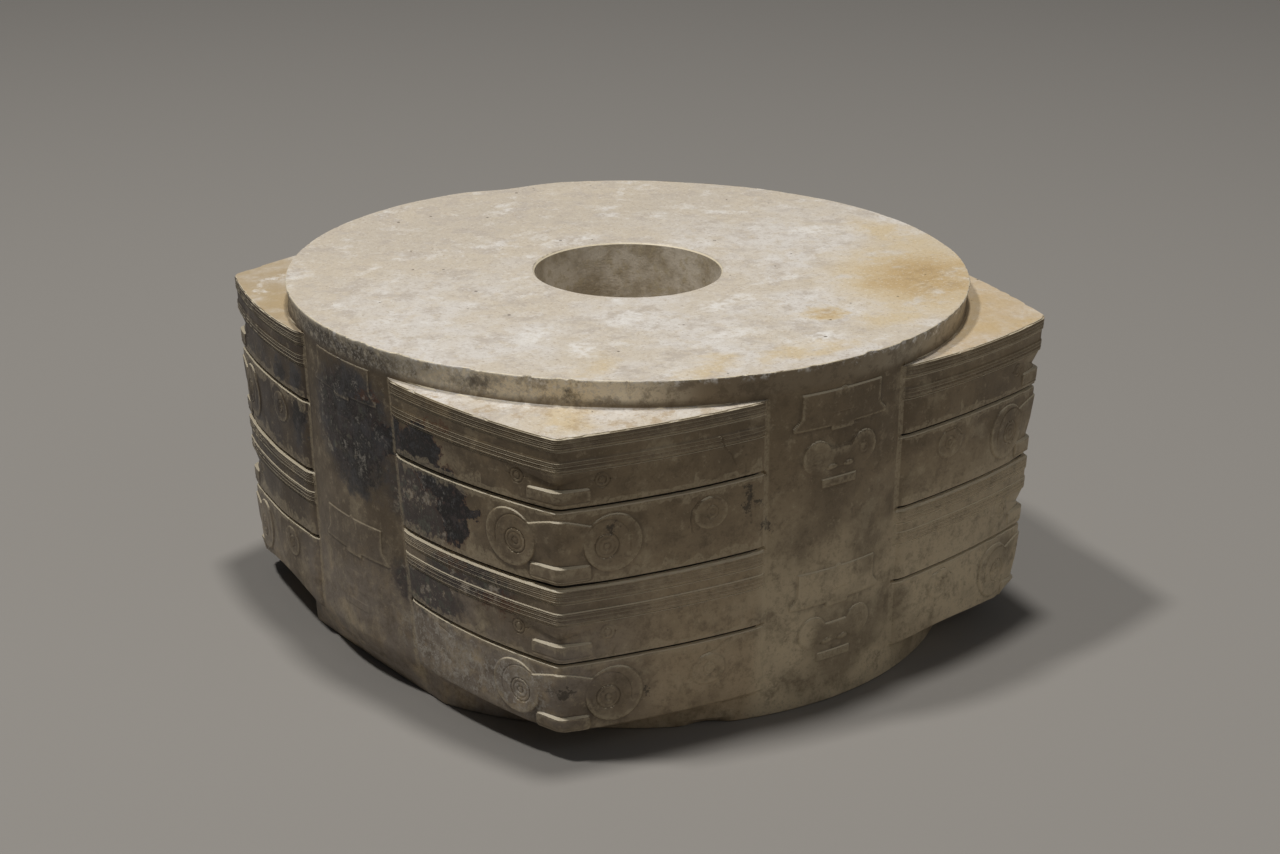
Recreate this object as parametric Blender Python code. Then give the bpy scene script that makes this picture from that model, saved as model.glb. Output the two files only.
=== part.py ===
"""A low, wide jade cong: one block of stone with a round bore, four stepped corners
and two short round collars. Everything is one body, as it was carved.

Frame: +Z up, origin at the middle of the foot, metres. The four flat groove panels look
along +X, +Y, -X and -Y, and the four corner blocks stand on the diagonals between them.
"""
import math

import bmesh
import bpy

MM = 0.001

# The whole stone
HEIGHT = 89.0 * MM
RIM_RADIUS = 86.7 * MM          # upper collar, at its sharp rim
COLLAR_RADIUS = 85.4 * MM       # the same cylinder where the corner blocks begin
FOOT_RADIUS = 82.2 * MM         # lower collar; the stone narrows downwards
RIM_WEAR = 0.4 * MM             # rounding of the rim
FOOT_WEAR = 0.5 * MM            # rounding of the foot's edge

# The bore, drilled from both ends and meeting in a low ridge
BORE_MOUTH_RADIUS = 23.9 * MM
BORE_WAIST_RADIUS = 19.0 * MM
BORE_RIDGE_HEIGHT = 5.0 * MM
BORE_RIDGE_DEPTH = 0.35 * MM

# Corner blocks: register lines from the top down
BLOCK_TOP = 82.1 * MM
REGISTER_LINES = (63.5 * MM, 44.6 * MM, 25.2 * MM)
BLOCK_FOOT = 7.3 * MM
CORNER_TAPER = 3.9 * MM         # how much nearer the axis a corner is at its foot
TAPER_CURVE = 1.2               # above 1, the corner draws in faster near its top
FACE_STEP = 1.2 * MM            # a block's face stands this proud of the groove panel
CORNER_WEAR = 0.35 * MM
CORNER_WEAR_WIDTH = 1.6 * MM
MITRE = 1.18                    # a corner moves in this much further than its faces
COVE = 1.5 * MM                 # hollow curve where the collar meets a block's top
COVE_HEIGHT = 2.0 * MM
COVE_SHARE = 0.3                # most of a narrow ledge that the curve may take

# Relief of a block, all depths measured in from its face. The first and third registers
# carry two raised bands with a plain sunk strip between: heights of band, strip, band
BANDS = {0: (3.3 * MM, 2.4 * MM, 2.9 * MM), 2: (3.5 * MM, 2.6 * MM, 2.9 * MM)}
STRIP_DEPTH = 0.75 * MM
FIELD_DEPTH = 0.15 * MM         # the plain field under the bands
BRIDGE = 2.4 * MM               # raised strip over the eyes of a deep mask
NOSE_TOP = 4.8 * MM             # the nose bar, measured up from the register line
NOSE_FOOT = 1.1 * MM
NOSE_REACH = 8.6 * MM           # the bar runs this far along both faces
HOLLOW_DEPTH = 1.4 * MM         # the corner is cut back around the nose
HOLLOW_REACH = 13.8 * MM
LINE_HALF = 0.35 * MM           # half the height of the groove between two registers
LINE_DEPTH = 1.6 * MM
STEP = 0.2 * MM                 # height of each small sloping step

# The corner blocks, counter-clockwise from the +X+Y one: how far the corner is from the
# axis, how much stone its foot has lost, and how far its two faces bow out. The hand-cut
# lines wander, so their rise is given in mm at the top edge, at each register line and at
# the foot, for the corner, half way along each face and each face's groove edge. Where a
# value is given for both faces, the clockwise one comes first
STRAIGHT = (0.0, 0.0, 0.0, 0.0, 0.0)
CORNERS = (
    {
        "reach": 104.8 * MM, "loss": 1.5 * MM, "corner": (-0.4, 0.3, -0.3, 0.2, 0.0),
        "bow": (1.9 * MM, 1.7 * MM), "middle": (STRAIGHT, STRAIGHT), "groove": (STRAIGHT, STRAIGHT),
    }, {
        "reach": 104.0 * MM, "loss": 2.5 * MM, "corner": (0.1, -0.4, 0.0, -0.6, -2.5),
        "bow": (1.8 * MM, 2.4 * MM),
        "middle": (STRAIGHT, (0.0, 1.1, 1.1, 2.0, 3.2)),
        "groove": (STRAIGHT, (0.1, 0.7, 1.1, 2.4, 0.0)),
    }, {
        "reach": 104.4 * MM, "loss": 0.4 * MM, "corner": (-0.9, 0.0, -0.2, -0.4, -0.3),
        "bow": (2.3 * MM, 1.1 * MM),
        "middle": ((-0.4, 0.0, 0.1, 0.5, 1.4), (-0.5, 0.0, -0.2, -0.4, -0.3)),
        "groove": ((0.0, 0.0, 0.4, 1.7, 1.6), (0.1, 0.8, 0.5, 0.0, 0.0)),
    }, {
        "reach": 105.7 * MM, "loss": 4.5 * MM, "corner": (-0.3, 0.1, 0.3, 0.9, -1.0),
        "bow": (2.5 * MM, 1.8 * MM),
        "middle": ((-0.1, 1.0, 1.0, 1.2, 1.8), STRAIGHT),
        "groove": ((0.2, 0.5, 0.3, 0.0, 0.0), STRAIGHT),
    },
)
LOSS_REACH = 11.0 * MM          # the lost stone runs this far along a face and up a corner
LOSS_HEIGHT = 5.0 * MM
# One row for each groove panel, counter-clockwise from the +X one: its half width
# clockwise and counter-clockwise of its middle, each at the top and at the foot
GROOVES = (
    ((21.3 * MM, 21.0 * MM), (20.9 * MM, 21.5 * MM)),
    ((20.8 * MM, 21.4 * MM), (21.2 * MM, 20.8 * MM)),
    ((21.3 * MM, 21.0 * MM), (20.2 * MM, 23.8 * MM)),
    ((22.2 * MM, 19.8 * MM), (20.0 * MM, 22.2 * MM)),
)
# Old losses of the round body: middle angle and half width in degrees, then depth, and
# for the foot also the height that each loss reaches
RIM_FLAT = (77.0, 11.0, 2.3 * MM)
FOOT_CHIPS = (
    (184.5, 32.0, 5.6 * MM, 5.8 * MM),
    (-113.0, 5.0, 2.1 * MM, 1.3 * MM),
    (40.0, 9.0, 1.3 * MM, 0.8 * MM),
)

# Columns of the surface: distances along a face from its corner, counted so that every
# face is FACE_RUN long, then the distance across a panel from its middle
FACE_RUN = 54.0 * MM
FACE_COLUMNS = tuple(d * MM for d in (54.0, 40.0, 27.0, 13.8, 9.0, 8.4, 4.2, 1.2))
PANEL_COLUMN = 10.5 * MM

WELD = 0.01 * MM
CREASE_ANGLE = math.radians(25.0)

STONE_COLOUR = (0.42, 0.35, 0.24, 1.0)


def clear_scene():
    for obj in list(bpy.data.objects):
        bpy.data.objects.remove(obj, do_unlink=True)


def mix(a, b, share):
    return a + (b - a) * share


def bump(angle, middle, half_width):
    """1 at the middle angle, falling smoothly to 0 at half_width either side (degrees)."""
    off = abs((angle - middle + 180.0) % 360.0 - 180.0) / half_width
    return 0.5 + 0.5 * math.cos(math.pi * off) if off < 1.0 else 0.0


def fade(distance, reach):
    """1 at no distance, falling to 0 at reach, and flattening out as it gets there."""
    return max(0.0, 1.0 - max(0.0, distance) / reach) ** 2


def wall_radius(z):
    """Radius of the round body: the collars and the floors of the groove panels."""
    if z > BLOCK_TOP:
        return mix(COLLAR_RADIUS, RIM_RADIUS, (z - BLOCK_TOP) / (HEIGHT - BLOCK_TOP))
    return mix(FOOT_RADIUS, COLLAR_RADIUS, z / BLOCK_TOP)


def down_share(z):
    """0 at the top of the corner blocks, 1 at their foot."""
    return min(1.0, max(0.0, (BLOCK_TOP - z) / (BLOCK_TOP - BLOCK_FOOT)))


def groove_edge(column, z):
    """Half width of the groove panel on the side where this column lies."""
    top, foot = GROOVES[column["panel"]][column["side"]]
    return mix(top, foot, down_share(z))


def turned(angle, outward, along):
    """A plan point from its distance out and along, in a frame turned by angle."""
    return (outward * math.cos(angle) - along * math.sin(angle),
            outward * math.sin(angle) + along * math.cos(angle))


def face_frame(column, outward, toward_corner):
    """A plan point on the side of the groove panel that this column belongs to."""
    along = toward_corner if column["side"] else -toward_corner
    return turned(math.radians(90.0 * column["panel"]), outward, along)


def face_point(column, z, inset):
    """A point of a corner block's face, sunk by inset below it."""
    block = CORNERS[column["corner"]]
    down = down_share(z)
    taper = CORNER_TAPER * down * mix(TAPER_CURVE, 1.0, down)
    corner = (block["reach"] - taper) / math.sqrt(2.0)
    edge = groove_edge(column, z)
    edge_out = math.sqrt(wall_radius(z) ** 2 - edge ** 2) + FACE_STEP
    share = 1.0 - column["run"] / FACE_RUN
    bow = block["bow"][1 - column["side"]]
    outward = mix(edge_out, corner, share) + bow * 4.0 * share * (1.0 - share)
    along = mix(edge, corner, share)
    inset = inset + CORNER_WEAR * fade(column["run"], CORNER_WEAR_WIDTH)
    inset = inset + block["loss"] * fade(column["run"], LOSS_REACH) * fade(z - BLOCK_FOOT, LOSS_HEIGHT)
    turn = share ** 2           # 0: straight in from the panel, 1: in along the diagonal
    mitred = inset * MITRE * math.sqrt(0.5) * turn
    return face_frame(column, outward - inset * (1.0 - turn) - mitred, along - mitred)


def hollow(column):
    """How far the stone around the nose is cut back at this column."""
    return HOLLOW_DEPTH * max(0.0, 1.0 - column["run"] / HOLLOW_REACH)


def register_rows(top, line, bands):
    """Rows of one register from its top edge down: height, depth, and two switches that
    say whether the corner hollow and the nose bar show there."""
    rows = [(top, 0.0, 0, 0)]
    if bands:
        upper, strip, lower = bands
        z = top - upper
        rows += [(z, 0.0, 0, 0), (z - STEP, STRIP_DEPTH, 0, 0)]
        z -= strip
        rows += [(z + STEP, STRIP_DEPTH, 0, 0), (z, 0.0, 0, 0)]
        z -= lower
    else:
        z = top - BRIDGE
    rows += [(z, 0.0, 0, 0), (z - STEP, FIELD_DEPTH, 1, 0)]
    rows += [(line + NOSE_TOP + STEP, FIELD_DEPTH, 1, 0), (line + NOSE_TOP, FIELD_DEPTH, 1, 1)]
    rows += [(line + NOSE_FOOT, FIELD_DEPTH, 1, 1), (line + LINE_HALF, FIELD_DEPTH + STEP, 1, 1)]
    return rows


def block_rows():
    """All rows of the corner blocks, from their top edge to their foot."""
    rows = []
    top = BLOCK_TOP
    for number, line in enumerate(REGISTER_LINES):
        rows += register_rows(top, line, BANDS.get(number))
        rows += [(line + LINE_HALF - STEP, LINE_DEPTH, 0, 0)]
        rows += [(line - LINE_HALF + STEP, LINE_DEPTH, 0, 0)]
        top = line - LINE_HALF
    return rows + register_rows(top, BLOCK_FOOT - LINE_HALF, None)


def line_rise(column, z):
    """How far a block's hand-cut lines are above their nominal height here."""
    block = CORNERS[column["corner"]]
    face = 1 - column["side"]
    away = column["run"] / FACE_RUN
    levels = (BLOCK_TOP,) + REGISTER_LINES + (BLOCK_FOOT,)
    rises = [corner * (1.0 - away) * (1.0 - 2.0 * away) + middle * 4.0 * away * (1.0 - away)
             + groove * away * (2.0 * away - 1.0) for corner, middle, groove
             in zip(block["corner"], block["middle"][face], block["groove"][face])]
    rise = rises[0]
    for upper, lower, above, below in zip(levels, levels[1:], rises, rises[1:]):
        if z < upper:
            rise = mix(above, below, min(1.0, (upper - z) / (upper - lower)))
    return rise * MM


def block_point(column, row):
    """Where a row of the corner blocks crosses a column. Between the blocks the same row
    runs on around the groove panel, which stays part of the round body."""
    z, depth, with_hollow, with_nose = row
    if column["kind"] == "panel":
        return wall_point(column, z)
    inset = depth
    if with_nose and column["run"] < NOSE_REACH:
        inset = 0.0
    elif with_hollow:
        inset = depth + hollow(column)
    return face_point(column, z, inset) + (z + line_rise(column, z),)


def panel_half_angle(column, z, radius):
    return math.asin(groove_edge(column, z) / radius)


def wall_point(column, z, radius=None):
    """A point of the round body. Columns that belong to a block share out the arc
    between the two groove edges evenly."""
    radius = radius or wall_radius(z)
    if column["kind"] == "panel":
        along = groove_edge(column, z) if column["foot"] else column["along"]
        angle = math.asin(along / radius)
    else:
        half = panel_half_angle(column, z, radius)
        angle = mix(half, math.pi / 4.0, column["rank"])
    if not column["side"]:
        angle = -angle
    angle += math.radians(90.0 * column["panel"])
    return (radius * math.cos(angle), radius * math.sin(angle), z)


def column_angle(column):
    x, y, _ = wall_point(column, HEIGHT)
    return math.degrees(math.atan2(y, x))


def make_columns():
    """Every column of the surface, counter-clockwise from the middle of the +X panel."""
    columns = []
    for quarter in range(4):
        near = {"panel": quarter, "side": 1, "corner": quarter}
        far = {"panel": (quarter + 1) % 4, "side": 0, "corner": quarter}
        columns.append(dict(near, kind="panel", foot=False, along=0.0))
        columns.append(dict(near, kind="panel", foot=False, along=PANEL_COLUMN))
        columns.append(dict(near, kind="panel", foot=True))
        columns += face_columns(near)
        columns.append(dict(near, kind="block", run=0.0, rank=1.0))
        columns += reversed(face_columns(far))
        columns.append(dict(far, kind="panel", foot=True))
        columns.append(dict(far, kind="panel", foot=False, along=PANEL_COLUMN))
    return columns


def face_columns(half):
    """The columns of one face, from the groove edge to just before the corner."""
    count = len(FACE_COLUMNS) + 1
    return [dict(half, kind="block", run=run, rank=(number + 1) / count)
            for number, run in enumerate(FACE_COLUMNS)]


def cove_point(column, base_z, side):
    """The foot of the hollow curve between a collar and a block. side is 1 on top of the
    block and -1 under it. The curve dies out where the block's top has no width."""
    radius = wall_radius(base_z)
    x, y, z = wall_point(column, base_z)
    if column["kind"] == "panel":
        return (x, y, z)
    ledge = math.hypot(*face_point(column, base_z, 0.0)) - radius
    cove = min(COVE, COVE_SHARE * ledge)
    grow = 1.0 + cove / radius
    rise = line_rise(column, BLOCK_TOP if side > 0 else BLOCK_FOOT) * cove / max(ledge, MM)
    return (x * grow, y * grow, z + rise)


def surface_rings(columns):
    """Rings of points in order: up the bore, out over the top, down the outside and back
    in under the foot."""
    rings = []
    middle = HEIGHT / 2.0
    ridge = BORE_RIDGE_HEIGHT / 2.0
    neck = BORE_WAIST_RADIUS + BORE_RIDGE_DEPTH
    angle_of = [column_angle(column) for column in columns]
    turns = [math.radians(angle) for angle in angle_of]
    bore = ((0.0, BORE_MOUTH_RADIUS), (middle - ridge, neck), (middle, BORE_WAIST_RADIUS),
            (middle + ridge, neck), (HEIGHT, BORE_MOUTH_RADIUS))
    for z, radius in bore:
        rings.append([(radius * math.cos(a), radius * math.sin(a), z) for a in turns])

    flat_middle, flat_width, flat_depth = RIM_FLAT
    worn = [flat_depth * bump(angle, flat_middle, flat_width) for angle in angle_of]
    rings.append([wall_point(c, HEIGHT, RIM_RADIUS - RIM_WEAR - w) for c, w in zip(columns, worn)])
    rings.append([wall_point(c, HEIGHT - RIM_WEAR, RIM_RADIUS - w) for c, w in zip(columns, worn)])
    rings.append([wall_point(c, BLOCK_TOP + COVE_HEIGHT) for c in columns])
    rings.append([cove_point(c, BLOCK_TOP + STEP, 1) for c in columns])

    for row in block_rows():
        rings.append([block_point(column, row) for column in columns])

    rings.append([cove_point(c, BLOCK_FOOT - STEP, -1) for c in columns])
    rings.append([foot_point(c, a, outer=True) for c, a in zip(columns, angle_of)])
    rings.append([foot_point(c, a, outer=False) for c, a in zip(columns, angle_of)])
    return rings


def foot_point(column, angle, outer):
    """The foot's edge, knocked back where it has lost chips."""
    if outer:
        lost = sum(height * bump(angle, middle, width) for middle, width, _, height in FOOT_CHIPS)
        return wall_point(column, FOOT_WEAR + lost)
    lost = sum(depth * bump(angle, middle, width) for middle, width, depth, _ in FOOT_CHIPS)
    return wall_point(column, 0.0, FOOT_RADIUS - FOOT_WEAR - lost)


def skin_rings(name, rings):
    """One closed body from rings of equal length: a circle of vertices is extruded from
    ring to ring, and the last extrusion lands on the first ring and is welded to it."""
    mesh = bmesh.new()
    made = bmesh.ops.create_circle(mesh, cap_ends=False, segments=len(rings[0]), radius=HEIGHT)
    ring = made["verts"]
    for vertex, point in zip(ring, rings[0]):
        vertex.co = point
    edges = list(mesh.edges)
    for points in rings[1:] + rings[:1]:
        grown = bmesh.ops.extrude_edge_only(mesh, edges=edges)["geom"]
        edges = [item for item in grown if isinstance(item, bmesh.types.BMEdge)]
        ring = [item for item in grown if isinstance(item, bmesh.types.BMVert)]
        for vertex, point in zip(ring, points):
            vertex.co = point
    bmesh.ops.remove_doubles(mesh, verts=mesh.verts, dist=WELD)
    bmesh.ops.recalc_face_normals(mesh, faces=mesh.faces)
    data = bpy.data.meshes.new(name)
    mesh.to_mesh(data)
    mesh.free()
    return data


def stone_material():
    """Altered nephrite: cream to brown, polished to a soft wax-like shine."""
    material = bpy.data.materials.new("jade")
    material.use_nodes = True
    shader = material.node_tree.nodes["Principled BSDF"]
    shader.inputs["Base Color"].default_value = STONE_COLOUR
    shader.inputs["Roughness"].default_value = 0.45
    shader.inputs["Metallic"].default_value = 0.0
    return material


def build_cong():
    data = skin_rings("jade_cong", surface_rings(make_columns()))
    data.materials.append(stone_material())
    data.shade_smooth()
    data.set_sharp_from_angle(angle=CREASE_ANGLE)
    cong = bpy.data.objects.new("jade_cong", data)
    bpy.context.scene.collection.objects.link(cong)
    return cong


clear_scene()
build_cong()
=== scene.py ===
"""The looks of a low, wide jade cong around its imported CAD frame.

Frame: +Z up, origin at the middle of the foot, metres. The camera looks at the corner between
the -X and -Y groove panels.
"""
import math

import bmesh
import bpy
import numpy as np
from mathutils import Matrix, Vector


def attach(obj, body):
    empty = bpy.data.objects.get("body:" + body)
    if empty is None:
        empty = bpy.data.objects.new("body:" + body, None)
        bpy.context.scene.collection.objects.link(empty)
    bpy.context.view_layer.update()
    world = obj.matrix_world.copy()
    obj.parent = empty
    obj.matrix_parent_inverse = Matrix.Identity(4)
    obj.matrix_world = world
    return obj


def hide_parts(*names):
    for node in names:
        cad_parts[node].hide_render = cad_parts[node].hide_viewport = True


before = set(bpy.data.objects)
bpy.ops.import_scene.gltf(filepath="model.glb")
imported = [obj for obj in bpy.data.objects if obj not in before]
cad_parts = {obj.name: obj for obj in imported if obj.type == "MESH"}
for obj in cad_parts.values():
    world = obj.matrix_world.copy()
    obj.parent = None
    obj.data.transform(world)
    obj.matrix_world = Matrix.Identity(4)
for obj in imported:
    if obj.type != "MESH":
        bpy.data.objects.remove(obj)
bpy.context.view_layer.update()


# ----------------------------------------
# Camera: a long lens a little above the stone, turned to the corner between two panels.
# Depth of field stays off and there is no shift.
# ----------------------------------------
MM = 0.001
CAMERA_AZIMUTH = math.radians(-36.631)  # 0 looks along +Y
CAMERA_ELEVATION = math.radians(20.353)
CAMERA_ROLL = math.radians(0.292)
CAMERA_DISTANCE = 681.063 * MM
CAMERA_AIM = 44.5 * MM  # height of the point it turns about
CAMERA_SIDEWAYS = 3.279 * MM
CAMERA_UPWARDS = 1.307 * MM
CAMERA_LENS = 73.544  # on a 36 mm wide sensor

camera_data = bpy.data.cameras.new("camera")
camera_data.sensor_width = 36.0
camera_data.lens = CAMERA_LENS
camera_data.clip_start = 0.01
bpy.context.scene.view_settings.view_transform = "Standard"
camera = bpy.data.objects.new("camera", camera_data)
bpy.context.scene.collection.objects.link(camera)
turn = (Matrix.Rotation(CAMERA_AZIMUTH, 4, "Z")
        @ Matrix.Rotation(math.pi / 2.0 - CAMERA_ELEVATION, 4, "X")
        @ Matrix.Rotation(CAMERA_ROLL, 4, "Z"))
step_back = Matrix.Translation((CAMERA_SIDEWAYS, CAMERA_UPWARDS, CAMERA_DISTANCE))
camera.matrix_world = Matrix.Translation((0.0, 0.0, CAMERA_AIM)) @ turn @ step_back
bpy.context.scene.camera = camera


# ----------------------------------------
# The cong: one block of altered nephrite, sawn square, drilled from both ends, then ground
# and incised by hand. Everything is one stone, so it is one closed mesh: a sheet of columns
# and rows wrapped round the ring, worked to shape, and thinned where it is plain.
# ----------------------------------------
# The round body, in millimetres and degrees like every size of the stone
HEIGHT = 89.0
RIM_RADIUS = 86.7
COLLAR_RADIUS = 85.4
FOOT_RADIUS = 82.2
RIM_ROUNDING = 0.45
RIM_FLAT = (77.0, 11.0, 2.3)  # old flat on the rim: angle, half width, depth
RIM_CHIPS = ((-85.5, 2.0, 0.9), (-77.5, 1.6, 0.6), (-97.0, 1.2, 0.5),  # angle, half width, depth
             (-152.0, 2.6, 0.8), (-164.0, 2.0, 0.7), (-172.0, 1.6, 0.6))
RIM_CHIPPED = (-150.0, 70.0)  # roughest part of the rim: angle, half width
CHIP_SIZES, CHIP_FLOOR = (2.1, 0.8), 0.3  # fine chips all along the rim, and how few there are
FOOT_FLAT = (180.0, 76.5, 11.0)  # worn flat of the foot: angle, distance, height
FOOT_CHIPS = ((-113.0, 5.0, 2.1, 1.6), (40.0, 9.0, 1.3, 1.0))  # angle, half width, depth, height
FOOT_ROUNDING = 0.5
BORE_MOUTH, BORE_MOUTH_ROUNDING = 23.9, 0.5
BORE_WAIST, BORE_WAIST_STEP = 19.0, 0.55  # the two drillings meet in a step

# The corner blocks, counter-clockwise from the +X+Y one, as the CAD frame has them
BLOCK_TOP, BLOCK_FOOT = 82.1, 7.3
LINES = (63.5, 44.6, 25.2)  # heights of the level grooves between registers
TAPER, TAPER_CURVE = 3.9, 1.2  # how much less the corners reach at the foot
FACE_STEP = 1.2  # rise of a face's edge over its groove panel
FACE_RUN = 54.0  # nominal width of a face
COVE, COVE_HEIGHT, COVE_SHARE = 1.5, 2.0, 0.3  # at the collar's foot: run, height, share of a ledge
UNDERCUT = 1.8  # height of the slope under each block
REACH = np.array((104.8, 104.0, 104.4, 105.7))  # from the axis to each corner
LOSS = np.array((1.5, 2.5, 0.4, 4.5))  # stone lost at the foot of each corner
LOSS_REACH, LOSS_HEIGHT = 11.0, 5.0
MITRE = 1.18  # run of a cut along the corner for its depth in a face
BOW = np.array(((1.9, 1.7), (1.8, 2.4), (2.3, 1.1), (2.5, 1.8)))  # bulge of each face
# Half widths of the groove panels, on the two sides of each, at the top and at the foot
PANEL_HALVES = np.array((((21.3, 21.0), (20.9, 21.5)), ((20.8, 21.4), (21.2, 20.8)),
                         ((21.3, 21.0), (20.2, 23.8)), ((22.2, 19.8), (20.0, 22.2))))
# How much of each face's edge along its groove panel has been rubbed off, how far in that
# reaches, and how far the low wall between them slopes
EDGE_WEAR = np.array(((0.4, 0.4), (0.4, 0.8), (0.4, 0.4), (0.7, 0.4)))
EDGE_WEAR_REACH = 3.0
CORNER_WEAR, CORNER_WEAR_REACH = 0.35, 1.5
WALL_SLOPE = 1.1
TOP_EDGE_ROUNDING, TOP_EDGE_REACH = 0.3, 0.35
FOOT_EDGE_ROUNDING, FOOT_EDGE_REACH = 0.6, 0.8
# How far hand-cut lines stray upwards, at the top edge, the three lines and the foot
STRAIGHT = (0.0, 0.0, 0.0, 0.0, 0.0)
STRAY_CORNER = np.array(((-0.4, 0.3, -0.3, 0.2, 0.0), (0.1, -0.4, 0.0, -0.6, -2.5),
                         (-0.9, 0.0, -0.2, -0.4, -0.3), (-0.3, 0.1, 0.3, 0.9, -1.0)))
STRAY_MIDDLE = np.array(((STRAIGHT, STRAIGHT), (STRAIGHT, (0.0, 1.1, 1.1, 2.0, 3.2)),
                         ((-0.4, 0.0, 0.1, 0.5, 1.4), (-0.5, 0.0, -0.2, -0.4, -0.3)),
                         ((-0.1, 1.0, 1.0, 1.2, 1.8), STRAIGHT)))
STRAY_GROOVE = np.array(((STRAIGHT, STRAIGHT), (STRAIGHT, (0.1, 0.7, 1.1, 2.4, 0.0)),
                         ((0.0, 0.0, 0.4, 1.7, 1.6), (0.1, 0.8, 0.5, 0.0, 0.0)),
                         ((0.2, 0.5, 0.3, 0.0, 0.0), STRAIGHT)))


def spaced(*stretches):
    """Distances along a line: where it starts, then the (end, step) of each stretch, in mm."""
    places = [stretches[0]]
    for end, step in stretches[1:]:
        count = max(1, round(abs(end - places[-1]) / step))
        places += list(np.linspace(places[-1], end, count + 1)[1:])
    return np.array(places)


# Columns of the sheet over half a panel, its side wall and one face up to the corner
COARSE = 1.0
PANEL_DETAIL = 15.0  # half width of the part that the emblems take up
panel_places = spaced(0.0, (PANEL_DETAIL, 0.3 * COARSE))
panel_shares = np.linspace(0.0, 1.0, 8)[1:]
wall_shares = np.array((0.12, 0.4, 0.7, 0.92))
face_runs = spaced(FACE_RUN, (52.8, 0.24), (46.0, 0.9), (33.0, 0.3 * COARSE), (22.0, 0.8),
                   (5.5, 0.24 * COARSE), (1.0, 0.32), (0.0, 0.2))

half_kinds = [("panel", place, 0.0, FACE_RUN) for place in panel_places]
half_kinds += [("edge", share, 0.0, FACE_RUN) for share in panel_shares]
half_kinds += [("wall", 1.0, share, FACE_RUN) for share in wall_shares]
half_kinds += [("face", 1.0, 1.0, run) for run in face_runs]

columns = []
for quarter in range(4):
    near = [(quarter, 1, quarter) + kind for kind in half_kinds]
    far = [((quarter + 1) % 4, 0, quarter) + kind for kind in half_kinds[1:-1]]
    columns += near + far[::-1]
columns.append(columns[0])
panel_of, side_of, corner_of = (np.array([c[n] for c in columns]) for n in range(3))
kind_of = np.array([c[3] for c in columns])
place_of, lift_of, run_of = (np.array([c[n] for c in columns]) for n in (4, 5, 6))
sign_of = 2.0 * side_of - 1.0
face_of = 1 - side_of  # 0: the clockwise face of its block
is_face = lift_of > 0.0
share_of = 1.0 - run_of / FACE_RUN


def unit(value):
    """A value kept between 0 and 1."""
    return np.clip(value, 0.0, 1.0)


def fade(distance, reach):
    """1 at an edge, down to 0 as far in as its reach."""
    return unit(1.0 - np.maximum(distance, 0.0) / reach) ** 2


def angle_bump(angle, middle, half_width):
    """1 at an angle round the body, down to 0 at its half width on either side."""
    off = np.abs((angle - middle + 180.0) % 360.0 - 180.0) / half_width
    return np.where(off < 1.0, 0.5 + 0.5 * np.cos(np.pi * off), 0.0)


def wall_radius(z, angle):
    """Radius of the round body in degrees round it, with the foot's worn flat taken off."""
    upper = COLLAR_RADIUS + (RIM_RADIUS - COLLAR_RADIUS) * (z - BLOCK_TOP) / (HEIGHT - BLOCK_TOP)
    lower = FOOT_RADIUS + (COLLAR_RADIUS - FOOT_RADIUS) * z / BLOCK_TOP
    radius = np.where(z > BLOCK_TOP, upper, lower)
    middle, distance, height = FOOT_FLAT
    off = np.radians((angle - middle + 180.0) % 360.0 - 180.0)
    cut = np.maximum(0.0, radius - distance / np.maximum(0.5, np.cos(off)))
    return radius - cut * unit(1.0 - z / height) ** 1.6


def stray(z):
    """How far each column's hand-cut lines are above their nominal height."""
    away = run_of / FACE_RUN
    middle = STRAY_MIDDLE[corner_of, face_of]
    groove = STRAY_GROOVE[corner_of, face_of]
    corner = STRAY_CORNER[corner_of]
    rises = (corner.T * (1.0 - away) * (1.0 - 2.0 * away) + middle.T * 4.0 * away * (1.0 - away)
             + groove.T * away * (2.0 * away - 1.0))
    levels = (BLOCK_TOP,) + LINES + (BLOCK_FOOT,)
    result = rises[0] + 0.0 * z
    for upper, lower, above, below in zip(levels, levels[1:], rises, rises[1:]):
        share = unit((upper - z) / (upper - lower))
        result = np.where(z < upper, above + (below - above) * share, result)
    return result


def plan_turned(outward, along):
    """Plan places from the distances out from the axis and along each column's own panel."""
    angle = np.pi / 2.0 * panel_of
    along = along * sign_of
    return np.stack((outward * np.cos(angle) - along * np.sin(angle),
                     outward * np.sin(angle) + along * np.cos(angle)), axis=-1)


def panel_half(z):
    """Half width of each column's groove panel."""
    top, foot = PANEL_HALVES[panel_of, side_of].T
    down = unit((BLOCK_TOP - z) / (BLOCK_TOP - BLOCK_FOOT))
    return top + (foot - top) * down


def panel_along(z):
    """Distance of every column from the middle of its panel, on the panel's floor."""
    half = panel_half(z) - WALL_SLOPE
    on_edge = PANEL_DETAIL + (half - PANEL_DETAIL) * place_of
    return np.where(kind_of == "panel", place_of, np.where(kind_of == "edge", on_edge, half))


def floor_plan(z, raised):
    """Where the floors of the groove panels are, with their emblems raised."""
    along = panel_along(z)
    angle = 90.0 * panel_of + sign_of * np.degrees(np.arcsin(along / FOOT_RADIUS))
    radius = wall_radius(z, angle)
    turn = np.arcsin(along / radius)
    radius = radius + raised
    return plan_turned(radius * np.cos(turn), radius * np.sin(turn))


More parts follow.
